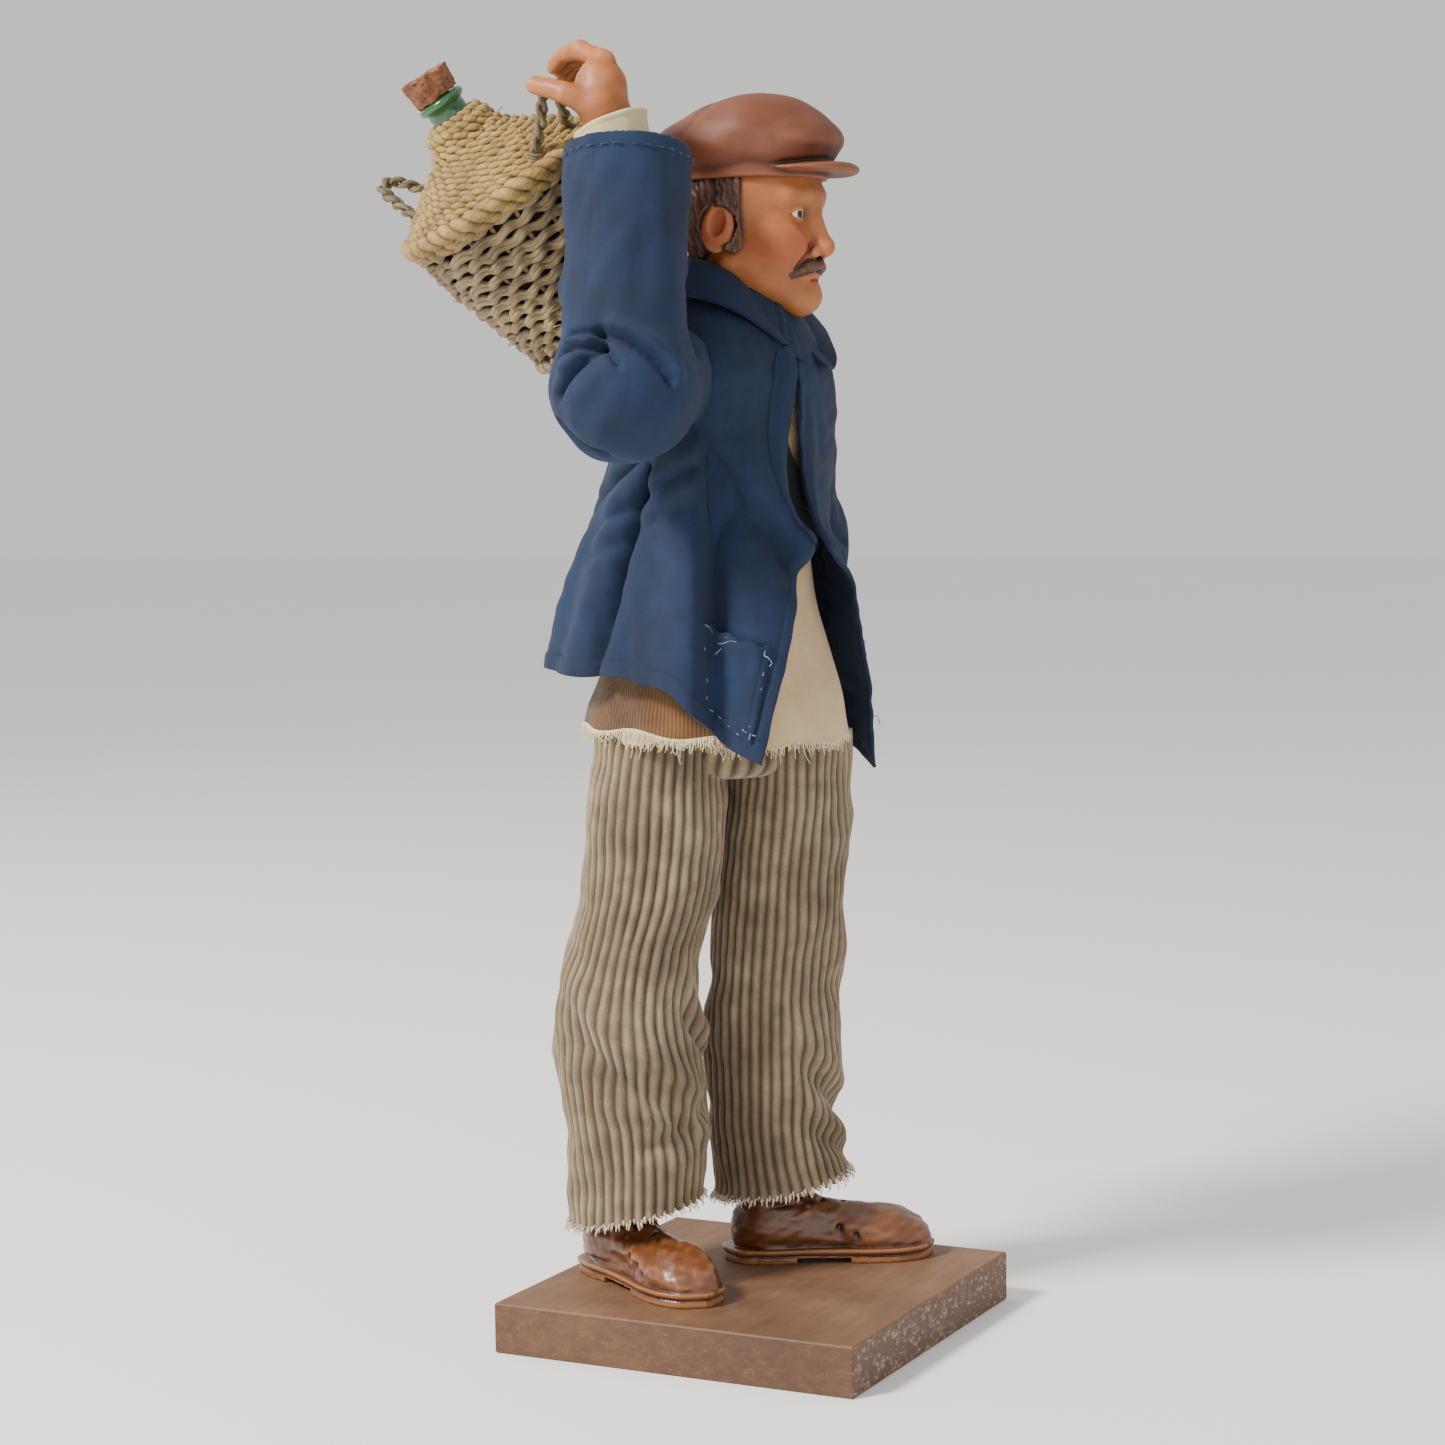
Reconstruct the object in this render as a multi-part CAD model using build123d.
"""A dressed, carved figurine: a porter in a cap who carries a straw-covered demijohn on the right shoulder.

Millimetres. +Z is up, the figurine faces -Y, its right side is -X, and the origin is the middle of the plinth's
underside. The body is a wire armature wrapped in padding. Head, hands and shoes are carved, and the clothes are sewn.
The demijohn hangs by one straw handle between the thumb and fingers of the raised right hand.
"""

from build123d import *
import math
import os

# ---------------------------------------------------------------- driving dimensions
PLINTH_SIDE = 98.0
PLINTH_THICKNESS = 12.6
PLINTH_CHAMFER = 0.4

WIRE_RADIUS = 1.0
PIN_DEPTH = 8.0  # how far each leg wire goes down into the plinth

SHOE_LENGTH = 51.0
SHOE_HALF_WIDTH = 9.6
SHOE_TURN = 30.0  # degrees each foot points outward from -Y
ANKLE_FROM_HEEL = 13.0
RIGHT_HEEL = (-6.0, 42.0)
LEFT_HEEL = (15.0, 13.0)

HIP_HEIGHT = 140.0  # where the legs meet the seat
WAIST_HEIGHT = 172.0
SHIRT_HEM = 150.0
SHOULDER_HEIGHT = 248.0

CLOTH = 1.1  # thickness of the jacket and the corduroy
THIN_CLOTH = 0.8  # thickness of the shirt and the waistcoat

SHOULDER_R = Vector(-25.0, 2.0, 246.0)
ELBOW_R = Vector(-54.0, 6.0, 237.0)
WRIST_R = Vector(-42.0, 9.5, 294.5)
SHOULDER_L = Vector(26.0, 2.0, 245.0)
ELBOW_L = Vector(50.0, 12.0, 200.0)
WRIST_L = Vector(52.5, 6.0, 163.0)
SLEEVE_RADIUS_R = 13.8
SLEEVE_RADIUS_L = 12.0

HEAD_CENTRE = Vector(0.0, -5.0, 281.0)
HEAD_SEMI_AXES = (16.0, 16.5, 23.5)
CAP_CENTRE = Vector(0.0, -1.5, 298.0)
CAP_SEMI_AXES = (21.5, 24.0, 12.3)
CAP_BOTTOM = 291.5
NECK_RADIUS = 8.0

# The demijohn has its own frame: origin at the widest ring, "up" along its axis to the stopper, "out" to the held handle.
RIM_CENTRE = Vector(-27.5, 52.9, 289.1)
JAR_UP = Vector(-0.42, 0.40, 0.81).normalized()
JAR_OUT = Vector(-0.319, -0.905, 0.282)
JAR_OUT = (JAR_OUT - JAR_UP * JAR_OUT.dot(JAR_UP)).normalized()
RIM_RADIUS = 28.5
FOOT_RADIUS = 17.0
FOOT_DROP = 43.0  # from the widest ring down to the foot
COVER_RISE = 20.0  # from the widest ring up to the neck
NECK_OUTER = 5.2
NECK_RISE = 6.5
STRAW = 2.0  # thickness of the straw cover
HANDLE_TUBE = 1.3
HANDLE_FOOT_RADIUS = 24.0  # the handles stand on the cover, at this radius
HANDLE_FOOT_RISE = 4.0  # and at this rise above the widest ring
HANDLE_HEIGHT = 15.0
HANDLE_FOOT_HALF_WIDTH = 7.0
HANDLE_TOP_HALF_WIDTH = 2.3
HANDLE_LEAN = 49.0  # degrees from square-to-the-axis, so each handle stands square on the sloping cover
STOPPER_RADIUS = 5.6
STOPPER_HEAD = 6.5
STOPPER_PLUG = 6.0
STOPPER_PLUG_RADIUS = 3.1
PLUG_CLEARANCE = 0.08

os.makedirs("parts", exist_ok=True)


def save(shape, name):
    """Writes one node, whose name is the file's name."""
    export_step(shape, f"parts/{name}.step")


# ---------------------------------------------------------------- general helpers
def capsule(a, b, radius_a, radius_b=None):
    """A straight round bar from a to b with a ball on each end."""
    radius_b = radius_a if radius_b is None else radius_b
    axis = Plane(origin=a, z_dir=b - a)
    length = (b - a).length
    if abs(radius_a - radius_b) < 1e-6:
        bar = Solid.make_cylinder(radius_a, length, axis)
    else:
        bar = Solid.make_cone(radius_a, radius_b, length, axis)
    return bar + Pos(*a) * Sphere(radius_a) + Pos(*b) * Sphere(radius_b)


def limb(points, radius):
    """Straight round bars through the points, with a ball at each corner and flat ends."""
    shape = None
    for a, b in zip(points, points[1:]):
        bar = Solid.make_cylinder(radius, (b - a).length, Plane(origin=a, z_dir=b - a))
        shape = bar if shape is None else shape + bar
    for corner in points[1:-1]:
        shape = shape + Pos(*corner) * Sphere(radius)
    return shape


def stack(sections, grow=0.0):
    """A loft through level ellipses, each (z, x, y, half width, half depth, turn in degrees), grown by a margin."""
    faces = []
    for z, x, y, half_width, half_depth, turn in sections:
        plane = Plane(origin=(x, y, z)).rotated((0, 0, turn))
        faces.append(plane * Ellipse(half_width + grow, half_depth + grow))
    return loft(faces)


def extended(sections, by):
    """The same sections with the first moved down and the last moved up, to cut clean through a shell's ends."""
    first, last = sections[0], sections[-1]
    return [(first[0] - by, *first[1:]), *sections[1:-1], (last[0] + by, *last[1:])]


def shell(sections, inner, thickness):
    """A tube of cloth open at both ends, with its inner face at the given margin outside the sections."""
    return stack(sections, inner + thickness) - stack(extended(sections, 0.01), inner)


def slab(low, high):
    """A block between two opposite corners."""
    centre = [(a + b) / 2 for a, b in zip(low, high)]
    return Pos(*centre) * Box(*[b - a for a, b in zip(low, high)])


# ---------------------------------------------------------------- body sections
# Level ellipses of the padded body: z, centre x, centre y, half width, half depth, turn.
HIPS = [
    (HIP_HEIGHT, 2.8, 9.0, 31.0, 15.0, -38.0),
    (WAIST_HEIGHT, 3.0, 8.0, 23.0, 16.0, -20.0),
]
TORSO = [
    (HIP_HEIGHT, 2.8, 9.0, 28.0, 14.0, -38.0),
    (WAIST_HEIGHT, 3.0, 8.0, 22.5, 15.5, -20.0),
    (195.0, 3.0, 6.5, 22.5, 16.0, -8.0),
    (220.0, 2.0, 4.0, 25.0, 17.5, 0.0),
    (240.0, 1.0, 2.5, 25.5, 17.0, 0.0),
    (253.0, 0.0, 1.0, 14.0, 11.0, 0.0),
]
SHIRT = [
    (SHIRT_HEM, 2.0, 10.0, 32.5, 32.0, -16.0),
    (WAIST_HEIGHT, 2.5, 8.5, 28.0, 24.0, -14.0),
    (195.0, 3.0, 6.5, 23.8, 17.6, -8.0),
    (220.0, 2.0, 4.0, 25.6, 18.0, 0.0),
    (240.0, 1.0, 2.5, 25.8, 17.3, 0.0),
    (253.0, 0.0, 1.0, 14.6, 11.6, 0.0),
]
WAISTCOAT = [
    (199.0, 3.0, 6.2, 25.4, 19.4, -8.0),
    (220.0, 2.0, 4.0, 26.9, 19.3, 0.0),
    (240.0, 1.0, 2.5, 26.9, 18.6, 0.0),
    (247.0, 0.5, 1.8, 23.2, 16.6, 0.0),
]
JACKET = [
    (150.0, 1.0, 12.0, 39.0, 42.0, 0.0),
    (168.0, 1.0, 12.0, 36.5, 40.5, 0.0),
    (190.0, 1.0, 11.0, 33.5, 35.5, 0.0),
    (210.0, 1.5, 8.0, 31.5, 30.5, 0.0),
    (226.0, 1.5, 4.5, 30.8, 26.5, 0.0),
    (241.0, 1.0, 2.5, 31.0, 23.5, 0.0),
    (252.0, 0.0, 1.5, 25.0, 18.5, 0.0),
    (260.0, 0.0, 1.0, 14.0, 13.0, 0.0),
]
RIGHT_LEG = [
    (29.5, -13.5, 28.5, 15.4, 15.4, 0.0),
    (52.0, -14.0, 26.5, 16.8, 16.8, 0.0),
    (84.0, -14.5, 28.5, 17.2, 17.2, 0.0),
    (112.0, -12.5, 24.0, 17.0, 17.0, 0.0),
    (HIP_HEIGHT, -11.5, 21.5, 16.6, 16.6, 0.0),
]
LEFT_LEG = [
    (29.5, 22.0, 2.0, 15.4, 15.4, 0.0),
    (52.0, 22.0, 5.0, 16.4, 16.4, 0.0),
    (84.0, 21.0, 4.5, 16.8, 16.8, 0.0),
    (112.0, 19.0, 0.5, 16.8, 16.8, 0.0),
    (HIP_HEIGHT, 17.0, -3.2, 16.6, 16.6, 0.0),
]


# ---------------------------------------------------------------- plinth, wires and padding
def ankle(heel, side):
    """Where a leg wire passes down through a shoe. Side is -1 for the right foot and 1 for the left."""
    turn = math.radians(SHOE_TURN)
    x = heel[0] + side * math.sin(turn) * ANKLE_FROM_HEEL
    y = heel[1] - math.cos(turn) * ANKLE_FROM_HEEL
    return x, y


RIGHT_ANKLE = ankle(RIGHT_HEEL, -1)
LEFT_ANKLE = ankle(LEFT_HEEL, 1)
PIN_BOTTOM = PLINTH_THICKNESS - PIN_DEPTH


def leg_wire(foot, sections):
    """One leg's wire, from its hole in the plinth through the middle of the leg to the hips."""
    points = [Vector(*foot, PIN_BOTTOM), Vector(*foot, 46.0)]
    points += [Vector(x, y, z) for z, x, y, *_ in sections[2:]]
    points.append(Vector(points[-1].X * 0.7, 9.0 + (points[-1].Y - 9.0) * 0.7, 160.0))
    return limb(points, WIRE_RADIUS)


def plinth():
    block = Pos(0, 0, PLINTH_THICKNESS / 2) * Box(PLINTH_SIDE, PLINTH_SIDE, PLINTH_THICKNESS)
    block = chamfer(block.edges(), PLINTH_CHAMFER)
    for foot in (RIGHT_ANKLE, LEFT_ANKLE):
        hole = Solid.make_cylinder(WIRE_RADIUS, PIN_DEPTH + 1, Plane(origin=(*foot, PIN_BOTTOM)))
        block = block - hole
    return block


HAND_WIRE_END = Vector(-43.6, 13.6, 306.0)
SPINE = [Vector(3.0, 8.0, 163.0), Vector(2.0, 4.0, 220.0), Vector(0.0, 0.5, 252.0), Vector(0.0, -3.0, 272.0)]
spine_wire = limb(SPINE, WIRE_RADIUS)
right_leg_wire = leg_wire(RIGHT_ANKLE, RIGHT_LEG)
left_leg_wire = leg_wire(LEFT_ANKLE, LEFT_LEG)
right_arm_wire = limb([SHOULDER_R + Vector(6, 0, 0), ELBOW_R, WRIST_R - Vector(0, 0, 6), HAND_WIRE_END], WIRE_RADIUS)
left_arm_wire = limb([SHOULDER_L - Vector(6, 0, 0), ELBOW_L, WRIST_L, WRIST_L - Vector(0, 0, 8)], WIRE_RADIUS)
WIRES = {
    "spine_wire": spine_wire,
    "right_leg_wire": right_leg_wire,
    "left_leg_wire": left_leg_wire,
    "right_arm_wire": right_arm_wire,
    "left_arm_wire": left_arm_wire,
}


def without(shape, *cutters):
    """The shape with each cutter taken away."""
    for cutter in cutters:
        shape = shape - cutter
    return shape


PADDING_MARGIN = 2.4  # between the leg padding and the trouser leg's inner face


def leg_padding(sections, wire):
    """Wrapping on one leg wire, from above the shoe to the hips."""
    low = (38.0, *sections[0][1:])
    return stack([low, *sections[1:]], -PADDING_MARGIN - CLOTH) - wire


torso_padding = without(stack(TORSO), *WIRES.values())
UPPER_ARM_PADDING = 8.0
torso_solid = stack(TORSO, 0.01)
right_arm_padding = without(
    limb([SHOULDER_R, ELBOW_R, WRIST_R - (WRIST_R - ELBOW_R).normalized() * 14], UPPER_ARM_PADDING),
    torso_solid,
    right_arm_wire,
)
left_arm_padding = without(
    limb([SHOULDER_L, ELBOW_L, WRIST_L - (WRIST_L - ELBOW_L).normalized() * 10], UPPER_ARM_PADDING),
    torso_solid,
    left_arm_wire,
)


# ---------------------------------------------------------------- shoes
def shoe(heel, side):
    """One carved shoe with its toe along -Y before it is turned: a sole with a heel block, and a round upper."""
    sole_top = 3.4
    outline = [
        (0.0, SHOE_HALF_WIDTH * 0.70),
        (0.10, SHOE_HALF_WIDTH * 0.84),
        (0.35, SHOE_HALF_WIDTH * 0.82),
        (0.70, SHOE_HALF_WIDTH),
        (0.90, SHOE_HALF_WIDTH * 0.80),
    ]
    right_side = [(width, -share * SHOE_LENGTH) for share, width in outline]
    left_side = [(-width, y) for width, y in reversed(right_side)]
    with BuildSketch() as sketch:
        with BuildLine():
            Spline(*right_side, (0.0, -SHOE_LENGTH), *left_side)
            ThreePointArc(left_side[-1], (0.0, 3.2), right_side[0])
        make_face()
    sole = extrude(sketch.sketch, sole_top)
    waist_cut = slab((-20, -SHOE_LENGTH * 0.56, -1), (20, -SHOE_LENGTH * 0.30, 1.2))
    sole = sole - waist_cut
    bands = [
        (1.5, 2.0, 7.0, 12.4),
        (-8.0, 2.0, 7.9, 12.9),
        (-20.0, 2.0, 8.0, 11.6),
        (-31.0, 2.0, 8.8, 8.4),
        (-42.0, 2.0, 8.0, 6.8),
        (-48.5, 2.0, 4.5, 4.5),
    ]
    faces = []
    for y, low, half_width, height in bands:
        centre = Plane(origin=(0, y, low + height / 2 + 0.4), x_dir=(1, 0, 0), z_dir=(0, -1, 0))
        faces.append(centre * Ellipse(half_width, height / 2 + 0.4))
    upper = loft(faces) - slab((-20, -60, -5), (20, 10, sole_top))
    collar = Solid.make_cylinder(6.6, 14.0, Plane(origin=(0, -ANKLE_FROM_HEEL + 3.2, 12.0)))
    body = sole + upper + collar
    placed = Pos(heel[0], heel[1], PLINTH_THICKNESS) * Rot(0, 0, side * SHOE_TURN) * body
    return placed


right_shoe = shoe(RIGHT_HEEL, -1) - right_leg_wire
left_shoe = shoe(LEFT_HEEL, 1) - left_leg_wire
leg_paddings = {
    "right_leg_padding": leg_padding(RIGHT_LEG, right_leg_wire) - right_shoe,
    "left_leg_padding": leg_padding(LEFT_LEG, left_leg_wire) - left_shoe,
}


# ---------------------------------------------------------------- clothes
def trouser_leg(sections):
    return shell(sections, -CLOTH, CLOTH)


def front_gap(corners):
    """A prism that opens a garment down the front, from the (x, z) corners of the opening."""
    with BuildSketch(Plane.XZ) as sketch:
        with BuildLine():
            Polyline(*corners, close=True)
        make_face()
    return extrude(sketch.sketch, 80)


jacket_outer = stack(JACKET)
jacket_shell = jacket_outer - stack(extended(JACKET, 0.01), -CLOTH)
JACKET_OPENING = [(-29.0, 140), (26.0, 140), (15.0, 200), (8.0, 265), (-8.0, 265), (-13.5, 200)]
jacket_open = jacket_shell - front_gap(JACKET_OPENING)
SIDE_SEAM = 12.0  # y of the side seams, behind which the cloth is the back panel
NEAR_HEM = 165.0  # the back panel is cut shorter than the fronts
jacket_back = jacket_open & slab((-80, SIDE_SEAM, NEAR_HEM), (80, 90, 300))
jacket_front_block = {
    "jacket_right_front": slab((-80, -80, 100), (0, SIDE_SEAM, 300)),
    "jacket_left_front": slab((0, -80, 100), (80, SIDE_SEAM, 300)),
}


def sleeve(points, radius):
    """A sleeve, open at the wrist and cut where it meets the jacket's body."""
    stretched = [points[0], *points[1:-1], points[-1] + (points[-1] - points[-2]).normalized() * 0.01]
    shoulder = Pos(*points[0])
    outside = limb(points, radius) + shoulder * Sphere(radius)
    inside = limb(stretched, radius - CLOTH) + shoulder * Sphere(radius - CLOTH)
    return outside - inside - jacket_outer


ARM_PATH_R = [SHOULDER_R, ELBOW_R, WRIST_R]
ARM_PATH_L = [SHOULDER_L, ELBOW_L, WRIST_L]
right_sleeve = sleeve(ARM_PATH_R, SLEEVE_RADIUS_R)
left_sleeve = sleeve(ARM_PATH_L, SLEEVE_RADIUS_L)
ARMHOLES = {
    "jacket_right_front": limb(ARM_PATH_R[:2], SLEEVE_RADIUS_R - CLOTH - 1.5),
    "jacket_left_front": limb(ARM_PATH_L[:2], SLEEVE_RADIUS_L - CLOTH - 1.0),
}
jacket_fronts = {
    name: jacket_open & block - ARMHOLES[name] for name, block in jacket_front_block.items()
}


def pocket(side):
    """A patch pocket that follows the lower front of the jacket."""
    patch = stack(JACKET, 0.6) - stack(extended(JACKET, 0.01), 0.01)
    low, high = (-15.5, 8.0) if side < 0 else (-18.0, 2.0)
    corner = (0.0, high, 180.0) if side > 0 else (-80.0, high, 182.0)
    block = slab((corner[0], low, 153.0), (corner[0] + 80.0, high, corner[2]))
    return patch & block - front_gap(JACKET_OPENING)


NECK_LINE = Vector(0.0, -1.0, 0.0)


def neck_ring(low, high, radius_low, radius_high, thickness, front_opening):
    """A collar round the neck, open in front by the given width."""
    base = Plane(origin=(NECK_LINE.X, NECK_LINE.Y, low))
    height = high - low
    outside = Solid.make_cone(radius_low, radius_high, height, base)
    inside = Solid.make_cone(radius_low - thickness, radius_high - thickness, height, base)
    ring = outside - inside
    return ring - slab((-front_opening / 2, -40, low - 1), (front_opening / 2, NECK_LINE.Y, high + 1))


jacket_collar = neck_ring(260.0, 267.5, 15.4, 14.2, CLOTH, 19.0) - stack(JACKET, 0.01)
shirt_collar = neck_ring(253.5, 259.0, 11.0, 10.4, THIN_CLOTH, 3.0)


def arm_clearance(shoulder, elbow):
    """The room a padded upper arm takes where it leaves the torso."""
    inward = (shoulder - elbow).normalized() * 6.0
    return limb([shoulder + inward, elbow], UPPER_ARM_PADDING + 0.3)


arm_clearance_r = arm_clearance(SHOULDER_R, ELBOW_R)
arm_clearance_l = arm_clearance(SHOULDER_L, ELBOW_L)
shirt_body = without(shell(SHIRT, 0.3, THIN_CLOTH), arm_clearance_r, arm_clearance_l)
trousers_seat = shell(HIPS, 0.6, CLOTH)
V_NECK = [(0.0, 212.0), (8.0, 262.0), (-8.0, 262.0)]
waistcoat = without(
    shell(WAISTCOAT, 0.6, THIN_CLOTH), arm_clearance_r, arm_clearance_l, front_gap(V_NECK)
)


def cuff(start, end, radius):
    """A shirt cuff that stands out of a jacket sleeve."""
    base = Plane(origin=start, z_dir=end - start)
    length = (end - start).length
    outside = Solid.make_cone(radius, radius - 1.0, length, base)
    inside = Solid.make_cone(radius - THIN_CLOTH, radius - 1.0 - THIN_CLOTH, length, base)
    return outside - inside


CUFF_RADIUS_R = 9.2
CUFF_RADIUS_L = 8.2
CUFF_START_R, CUFF_END_R = Vector(-43.2, 12.2, 288.5), Vector(-43.2, 13.4, 300.5)
CUFF_START_L, CUFF_END_L = Vector(52.3, 6.6, 166.0), Vector(52.8, 5.4, 157.5)
right_cuff = cuff(CUFF_START_R, CUFF_END_R, CUFF_RADIUS_R)
left_cuff = cuff(CUFF_START_L, CUFF_END_L, CUFF_RADIUS_L)


# ---------------------------------------------------------------- head, cap and hands
def ellipsoid(centre, semi_axes):
    return Pos(*centre) * scale(Sphere(1.0), by=semi_axes)


skull = ellipsoid(HEAD_CENTRE, HEAD_SEMI_AXES)
neck = Solid.make_cylinder(NECK_RADIUS, 16.0, Plane(origin=(0, -1.0, 254.0)))
nose = capsule(Vector(0, -20.0, 283.0), Vector(0, -21.5, 276.0), 1.8, 2.6)
ears = [capsule(Vector(x, -3.0, 278.0), Vector(x * 1.03, -1.5, 285.0), 2.4, 3.0) for x in (-16.0, 16.0)]
head = skull + neck + nose + ears[0] + ears[1]
cap_dome = ellipsoid(CAP_CENTRE, CAP_SEMI_AXES) & slab((-40, -40, CAP_BOTTOM), (40, 40, 320))
VISOR_TIP = -28.5
visor_disc = Solid.make_cylinder(16.5, 1.6, Plane(origin=(0, VISOR_TIP + 16.5, 291.2)))
cap = cap_dome + (visor_disc & slab((-30, -60, 280), (30, -14, 320)))
head = without(head, cap, spine_wire)
collar_clearance = ellipsoid(HEAD_CENTRE, tuple(half + 0.3 for half in HEAD_SEMI_AXES))
jacket_collar = jacket_collar - collar_clearance
shirt_collar = shirt_collar - collar_clearance

SWING_AXIS = JAR_UP.cross(JAR_OUT).normalized()
LEAN = math.radians(HANDLE_LEAN)
HANDLE_RISE = JAR_OUT * math.cos(LEAN) + JAR_UP * math.sin(LEAN)  # the way each handle stands, for the held one
HANDLE_FORWARD = SWING_AXIS.cross(HANDLE_RISE) * -1.0  # square to the held loop, away from the wrist
HANDLE_FOOT = RIM_CENTRE + JAR_OUT * HANDLE_FOOT_RADIUS + JAR_UP * HANDLE_FOOT_RISE
GRIP = HANDLE_FOOT + HANDLE_RISE * HANDLE_HEIGHT
FINGER_RADIUS = 2.2


def hand_point(side, forward, rise):
    """A point near the grip: along the swing axis, square to the held loop, and up the loop."""
    return GRIP + SWING_AXIS * side + HANDLE_FORWARD * forward + HANDLE_RISE * rise


# The wrist lies below and behind the loop. The thumb passes it on the near side, the four fingers on the far side.
PALM = hand_point(1.5, -13.5, 3.4)
THUMB = [hand_point(-4.5, -16.0, 0.5), hand_point(-6.2, -7.5, 3.6), hand_point(-6.1, 1.6, 2.6)]
FINGER_STEP = (2.2, 1.0, -2.2)  # from one finger to the next


def finger(index):
    """The knuckle, the middle joint and the tip of one finger, counted from the index finger."""
    side, forward, rise = [step * index for step in FINGER_STEP]
    knuckle = hand_point(4.2 + side, -12.5 + forward, 8.2 + rise)
    middle = hand_point(6.4 + side, -4.4 + forward - 0.6 * index, 6.6 + rise)
    tip = hand_point(6.6 + side, 4.0 + forward - 1.2 * index, -0.4 + rise)
    return knuckle, middle, tip


def build_right_hand():
    wrist = CUFF_START_R + Vector(0, 0, 1.5)
    shape = capsule(wrist, PALM, 6.3, 6.0)
    for index in range(4):
        knuckle, middle, tip = finger(index)
        shape = shape + capsule(PALM, knuckle, 4.4, FINGER_RADIUS + 0.5)
        shape = shape + capsule(knuckle, middle, FINGER_RADIUS + 0.3, FINGER_RADIUS)
        shape = shape + capsule(middle, tip, FINGER_RADIUS, FINGER_RADIUS - 0.2)
    shape = shape + capsule(PALM, THUMB[0], 4.6, 3.4)
    shape = shape + capsule(THUMB[0], THUMB[1], 3.4, 2.6)
    shape = shape + capsule(THUMB[1], THUMB[2], 2.6, 2.1)
    return shape


def build_left_hand():
    along = (WRIST_L - ELBOW_L).normalized()
    start = WRIST_L + along * 2.0
    palm_end = start + along * 12.0
    shape = capsule(start, palm_end, 5.4, 4.6)
    for i in range(4):
        root = palm_end + Vector(0.4, -4.2 + 2.9 * i, 0.5)
        tip = root + along * (9.0 - abs(i - 1.4)) + Vector(-1.6, -0.6, 0)
        shape = shape + capsule(root, tip, 2.0, 1.7)
    thumb = start + along * 3.0 + Vector(-1.0, -4.0, 0)
    return shape + capsule(thumb, thumb + along * 9.0 + Vector(-1.5, -3.0, 0), 2.4, 1.9)


# ---------------------------------------------------------------- demijohn
def jar_plane(rise):
    """A plane square to the demijohn's axis, at a height above its widest ring."""
    return Plane(origin=RIM_CENTRE + JAR_UP * rise, x_dir=JAR_OUT, z_dir=JAR_UP)


def jar_turned(profile):
    """A solid of revolution about the demijohn's axis, from (radius, rise) points."""
    section = Plane(origin=RIM_CENTRE, x_dir=JAR_OUT, z_dir=JAR_OUT.cross(JAR_UP))
    with BuildSketch(section) as sketch:
        with BuildLine():
            Polyline(*profile, close=True)
        make_face()
    return revolve(sketch.sketch, Axis(RIM_CENTRE, JAR_UP))


SEAM = 0.0  # rise of the ring where the lower basket meets the upper cover
UPPER_PROFILE = [(RIM_RADIUS, SEAM), (24.2, 3.6), (15.8, 9.6), (10.8, 13.2), (NECK_OUTER + 1.4, COVER_RISE)]
LOWER_PROFILE = [(RIM_RADIUS, SEAM), (RIM_RADIUS - 1.2, -4.0), (FOOT_RADIUS, -FOOT_DROP)]

glass_profile = [
    (0.0, -FOOT_DROP + STRAW),
    (FOOT_RADIUS - STRAW, -FOOT_DROP + STRAW),
    (RIM_RADIUS - 1.2 - STRAW, -4.0),
    (RIM_RADIUS - STRAW - 0.4, SEAM),
    (24.2 - STRAW, 3.6 - 0.8),
    (15.8 - STRAW, 9.6 - 0.8),
    (10.8 - STRAW, 13.2 - 0.4),
    (NECK_OUTER, COVER_RISE - 1.0),
    (NECK_OUTER - 0.5, COVER_RISE + NECK_RISE),
    (0.0, COVER_RISE + NECK_RISE),
]
NECK_TOP = COVER_RISE + NECK_RISE
bottle = jar_turned(glass_profile)
bottle_solid = bottle
bottle = bottle - Solid.make_cylinder(
    STOPPER_PLUG_RADIUS + PLUG_CLEARANCE, STOPPER_PLUG + 2.0, jar_plane(NECK_TOP - STOPPER_PLUG - 1.0)
)
stopper = jar_turned(
    [
        (0.0, NECK_TOP - STOPPER_PLUG),
        (STOPPER_PLUG_RADIUS, NECK_TOP - STOPPER_PLUG),
        (STOPPER_PLUG_RADIUS, NECK_TOP + 0.1),
        (STOPPER_RADIUS - 0.9, NECK_TOP + 0.1),
        (STOPPER_RADIUS, NECK_TOP + 0.3 * STOPPER_HEAD),
        (STOPPER_RADIUS - 0.3, NECK_TOP + 0.8 * STOPPER_HEAD),
        (STOPPER_RADIUS - 1.1, NECK_TOP + STOPPER_HEAD),
        (0.0, NECK_TOP + STOPPER_HEAD),
    ]
)
cover_solid = jar_turned([(0.0, SEAM), *UPPER_PROFILE, (0.0, COVER_RISE)])
basket_solid = jar_turned([(0.0, SEAM), *LOWER_PROFILE, (0.0, -FOOT_DROP)])
straw_cover = cover_solid - bottle_solid
straw_basket = basket_solid - bottle_solid


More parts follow.
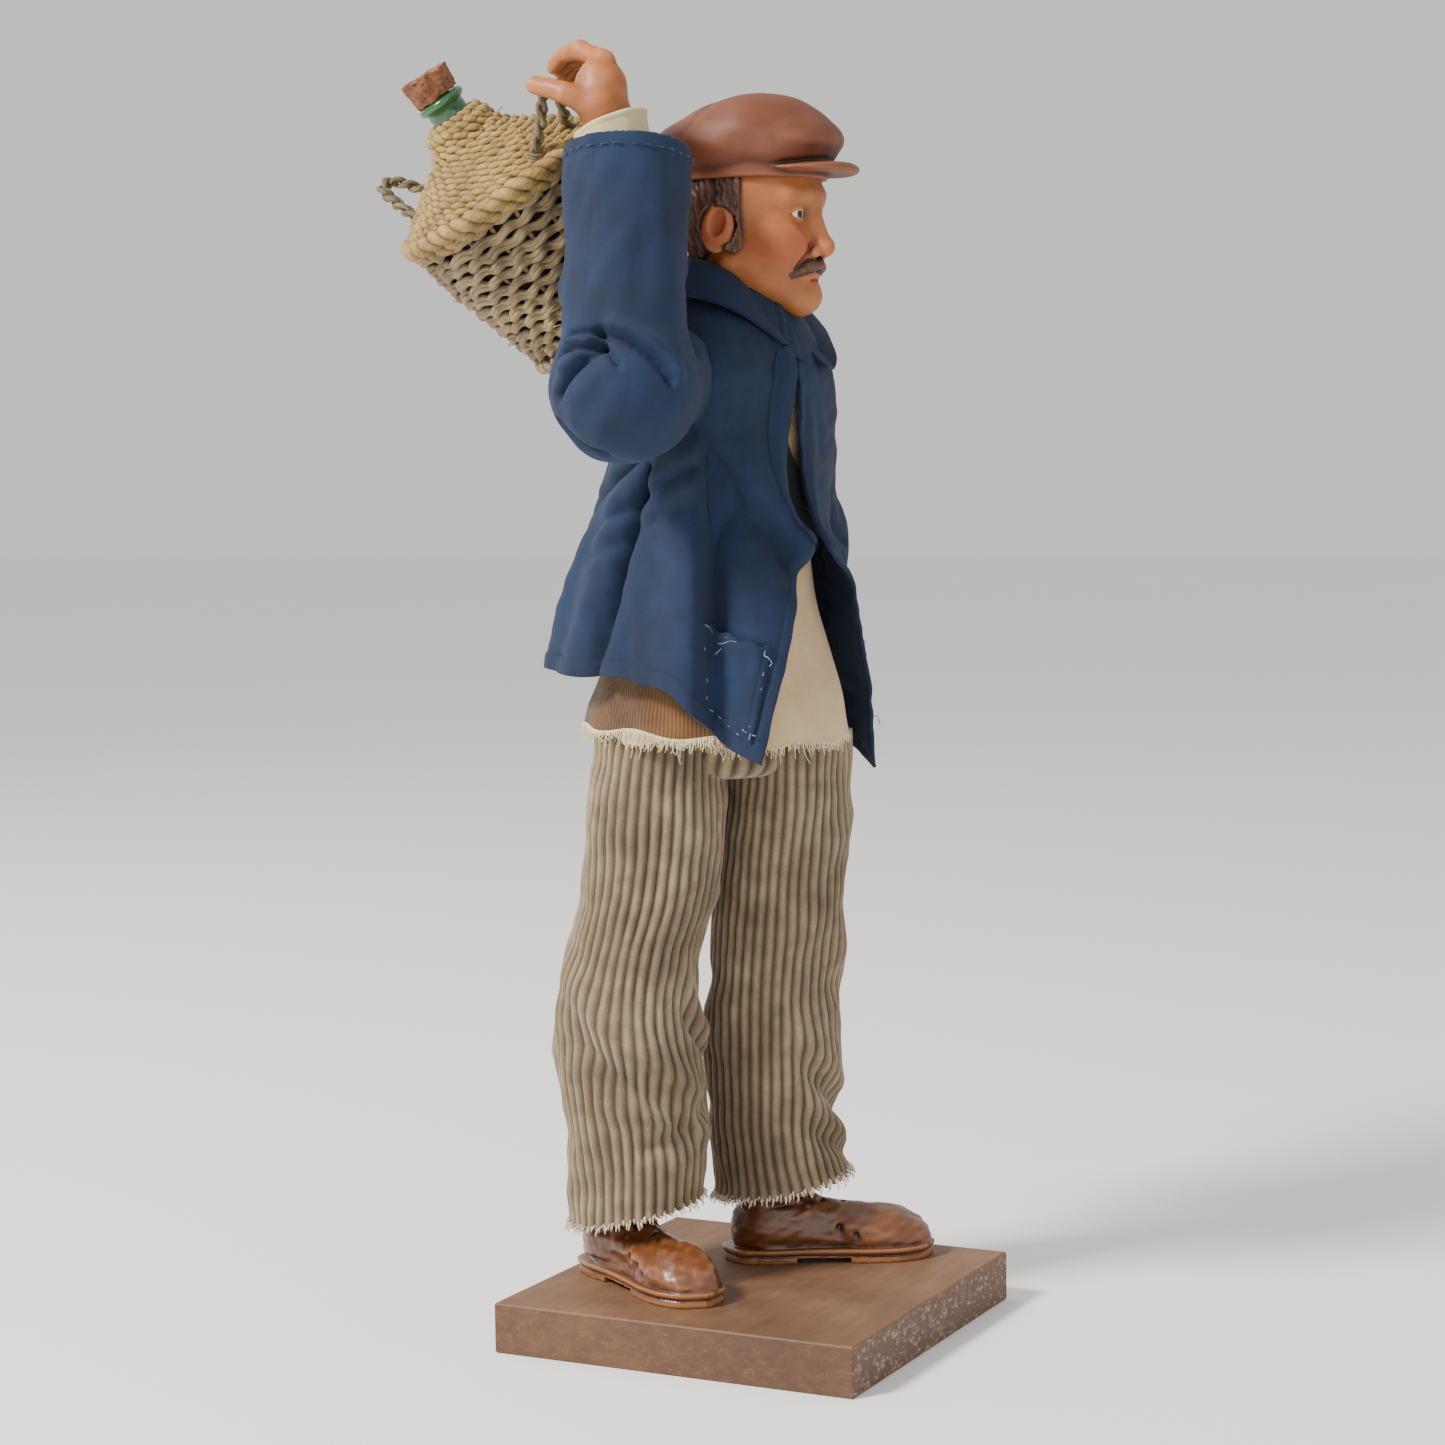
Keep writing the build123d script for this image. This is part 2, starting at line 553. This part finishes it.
def ear_handle(side):
    """A straw loop that stands square on the cover. Side is 1 for the held one and -1 for the free one."""
    out = JAR_OUT * side
    across = SWING_AXIS * side
    rise = out * math.cos(LEAN) + JAR_UP * math.sin(LEAN)
    foot = RIM_CENTRE + out * HANDLE_FOOT_RADIUS + JAR_UP * HANDLE_FOOT_RISE
    outline = [
        (-HANDLE_FOOT_HALF_WIDTH - 0.8, -3.0),
        (-HANDLE_TOP_HALF_WIDTH, HANDLE_HEIGHT),
        (HANDLE_TOP_HALF_WIDTH, HANDLE_HEIGHT),
        (HANDLE_FOOT_HALF_WIDTH + 0.8, -3.0),
    ]
    corners = [foot + across * wide + rise * high for wide, high in outline]
    path = FilletPolyline(*corners, radius=2.0)
    start = Plane(origin=path @ 0, z_dir=path % 0)
    return sweep(start * Circle(HANDLE_TUBE), path=path) - cover_solid - bottle_solid


held_handle = ear_handle(1)
free_handle = ear_handle(-1)

right_hand = without(build_right_hand(), right_arm_wire, right_cuff)
left_hand = without(build_left_hand(), left_arm_wire, left_cuff)

# ---------------------------------------------------------------- the nodes
save(plinth(), "plinth")
save(right_shoe, "right_shoe")
save(left_shoe, "left_shoe")
for wire_name, wire in WIRES.items():
    save(wire, wire_name)
for padding_name, padding in leg_paddings.items():
    save(padding, padding_name)
save(torso_padding, "torso_padding")
save(right_arm_padding, "right_arm_padding")
save(left_arm_padding, "left_arm_padding")
save(trouser_leg(RIGHT_LEG), "trousers_right_leg")
save(trouser_leg(LEFT_LEG), "trousers_left_leg")
save(trousers_seat, "trousers_seat")
save(shirt_body, "shirt_body")
save(shirt_collar, "shirt_collar")
save(right_cuff, "shirt_right_cuff")
save(left_cuff, "shirt_left_cuff")
save(waistcoat, "waistcoat")
save(jacket_back, "jacket_back")
for front_name, front in jacket_fronts.items():
    save(front, front_name)
save(right_sleeve, "jacket_right_sleeve")
save(left_sleeve, "jacket_left_sleeve")
save(jacket_collar, "jacket_collar")
save(pocket(-1), "jacket_right_pocket")
save(pocket(1), "jacket_left_pocket")
save(head, "head")
save(cap, "cap")
save(right_hand, "right_hand")
save(left_hand, "left_hand")
save(bottle, "demijohn_bottle")
save(straw_basket, "straw_basket")
save(straw_cover, "straw_cover")
save(held_handle, "held_handle")
save(free_handle, "free_handle")
save(stopper, "stopper")

print("grip", tuple(round(v, 3) for v in GRIP), "swing axis", tuple(round(v, 5) for v in SWING_AXIS))
print("jar up", tuple(round(v, 5) for v in JAR_UP))
